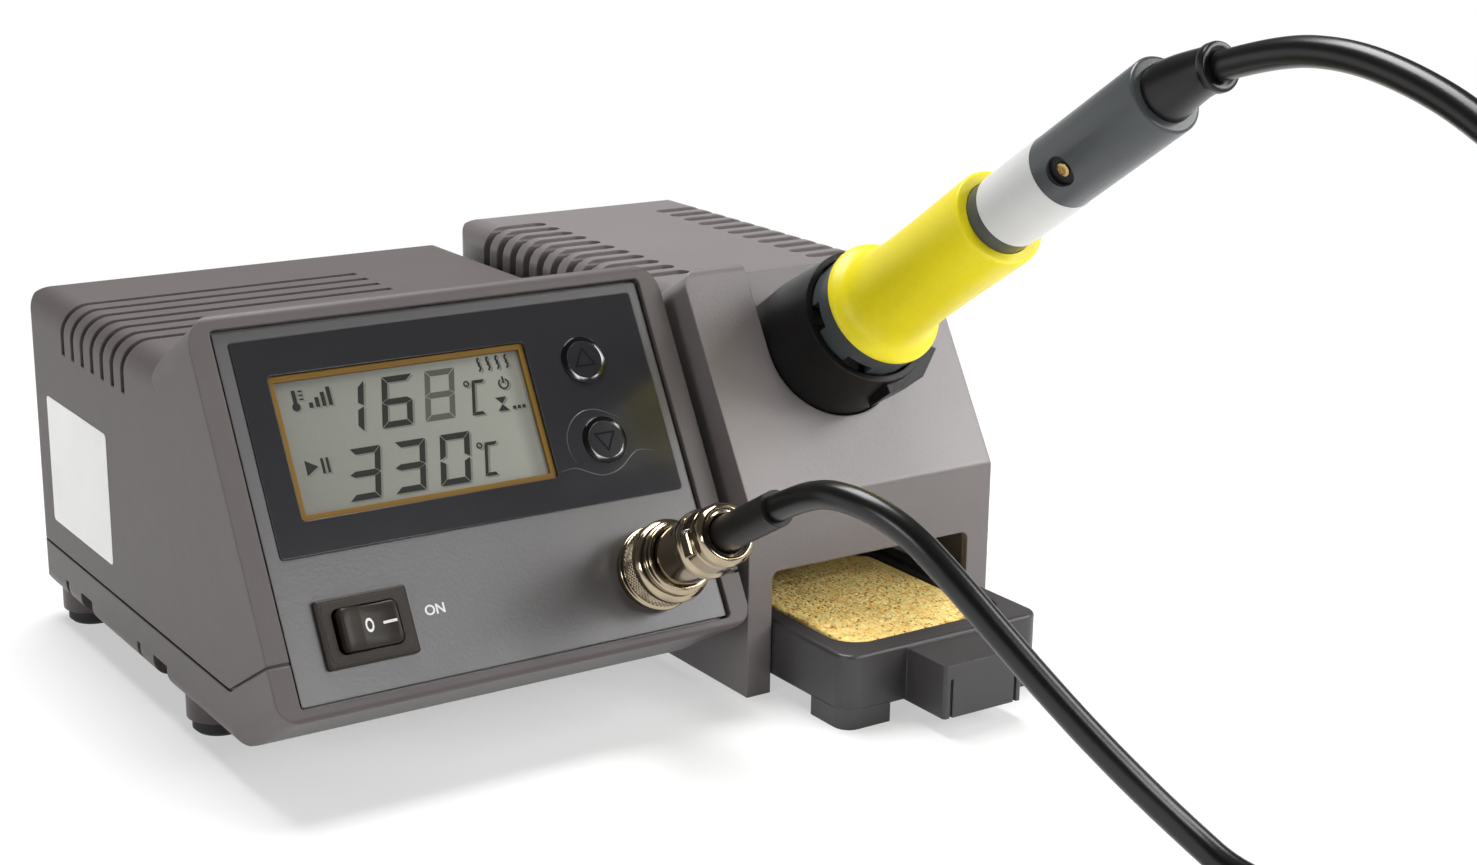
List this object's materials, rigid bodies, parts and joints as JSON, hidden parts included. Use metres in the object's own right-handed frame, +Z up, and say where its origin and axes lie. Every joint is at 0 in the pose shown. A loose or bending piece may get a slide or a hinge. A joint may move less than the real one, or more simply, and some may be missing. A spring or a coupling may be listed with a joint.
{
  "type": "soldering iron station",
  "caption": "Digital soldering station: control unit with sloping display panel, iron stand with sponge tray, iron in its holder, and a plugged cord.",
  "frame": {"origin": "on the table, under the middle of the station's box without its cord", "axes": "+X to the right as the panel is read, +Y from the panel to the back, +Z up"},
  "size_m": [0.2087, 0.3968, 0.1655],
  "materials": {
    "housing_grey": "fine satin texture",
    "lower_grey": "semi gloss",
    "panel_grey": "matt",
    "overlay_dark": "smooth film",
    "amber": "translucent amber",
    "display": "satin polariser",
    "light_white": "milky",
    "board_green": "solder mask",
    "black_plastic": "satin",
    "button_dark": "clear domed film over dark plastic",
    "black_rubber": "matt",
    "chrome": "polished",
    "steel": "zinc plated",
    "core_steel": "lacquered laminations",
    "winding": "enamelled wire under tape",
    "sink": "plain",
    "brass": "worn",
    "grip_yellow": "smooth",
    "handle_grey": "satin",
    "sponge": "open cells with flecks",
    "ceramic": "white",
    "copper_tip": "tinned and heat tinted"
  },
  "bodies": {
    "station": {"upper_housing": "housing_grey", "lower_housing": "lower_grey", "rubber_feet": "black_rubber", "housing_screws": "steel", "front_panel": "panel_grey", "display_overlay": "overlay_dark", "lcd_frame": "amber", "lcd_glass": "display", "light_guide": "light_white", "display_board": "board_green", "display_screws": "steel", "tact_switches": "black_plastic", "switch_frame": "black_plastic", "switch_terminals": "brass", "panel_socket": "chrome", "socket_nut": "steel", "socket_insert": "black_plastic", "transformer_core": "core_steel", "transformer_winding": "winding", "transformer_strap": "steel", "strap_screws": "steel", "power_board": "board_green", "power_screws": "steel", "heat_sink": "sink", "smoothing_capacitor": "black_plastic", "fuse_holder": "black_plastic", "mains_gland": "black_rubber", "stand_body": "housing_grey", "holder_ring": "black_plastic", "guard_tube": "steel", "cord_front": "black_rubber", "cord_coil": "black_rubber", "coil_ties": "black_plastic", "cord_tail": "black_rubber"},
    "rocker_body": {"rocker": "black_plastic"},
    "upper_button": {"button_up": "button_dark"},
    "lower_button": {"button_down": "button_dark"},
    "plug": {"plug_shell": "chrome", "plug_insert": "black_plastic", "plug_clamp": "chrome", "clamp_screws": "steel", "plug_sleeve": "black_rubber"},
    "ring_slide": {"ring_washer": "steel"},
    "ring": {"coupling_ring": "chrome"},
    "tray": {"sponge_tray": "housing_grey", "sponge": "sponge"},
    "iron": {"iron_collar": "handle_grey", "grip_sleeve": "grip_yellow", "handle_tube": "handle_grey", "handle_screw": "brass", "cord_boot": "black_rubber", "barrel_nut": "steel", "heater_barrel": "steel", "heater_core": "ceramic", "tip": "copper_tip"}
  },
  "joints": [
    {"name": "rocker_tilt", "type": "hinge", "parent": "station", "child": "rocker_body", "pos_m": [-0.07215, -0.02453, 0.03592], "axis": [0, 0.5, 0.866], "range_deg": [-18, 0]},
    {"name": "upper_button_press", "type": "slide", "parent": "station", "child": "upper_button", "axis": [0, 0.866, -0.5], "range_m": [0, 0.0005], "stiffness_N_per_m": 1500},
    {"name": "lower_button_press", "type": "slide", "parent": "station", "child": "lower_button", "axis": [0, 0.866, -0.5], "range_m": [0, 0.0005], "stiffness_N_per_m": 1500},
    {"name": "plug_pull", "type": "slide", "parent": "station", "child": "plug", "axis": [0, -0.866, 0.5], "range_m": [0, 0.014], "deforming": ["cord_front"]},
    {"name": "ring_draw", "type": "slide", "parent": "plug", "child": "ring_slide", "axis": [0, -0.866, 0.5], "range_m": [0, 0.005]},
    {"name": "ring_turn", "type": "hinge", "parent": "ring_slide", "child": "ring", "pos_m": [-0.00135, -0.02437, 0.0356], "axis": [0, -0.866, 0.5], "range_deg": [0, 1800]},
    {"name": "tray_pull", "type": "slide", "parent": "station", "child": "tray", "axis": [0, -1, 0], "range_m": [0, 0.06]},
    {"name": "iron_draw", "type": "slide", "parent": "station", "child": "iron", "axis": [0, -0.829, 0.5592], "range_m": [0, 0.095], "deforming": ["cord_tail"]}
  ],
  "couplings": [
    {"joint": "ring_turn", "follows": "ring_draw", "rad_per_m": 6283.2}
  ]
}
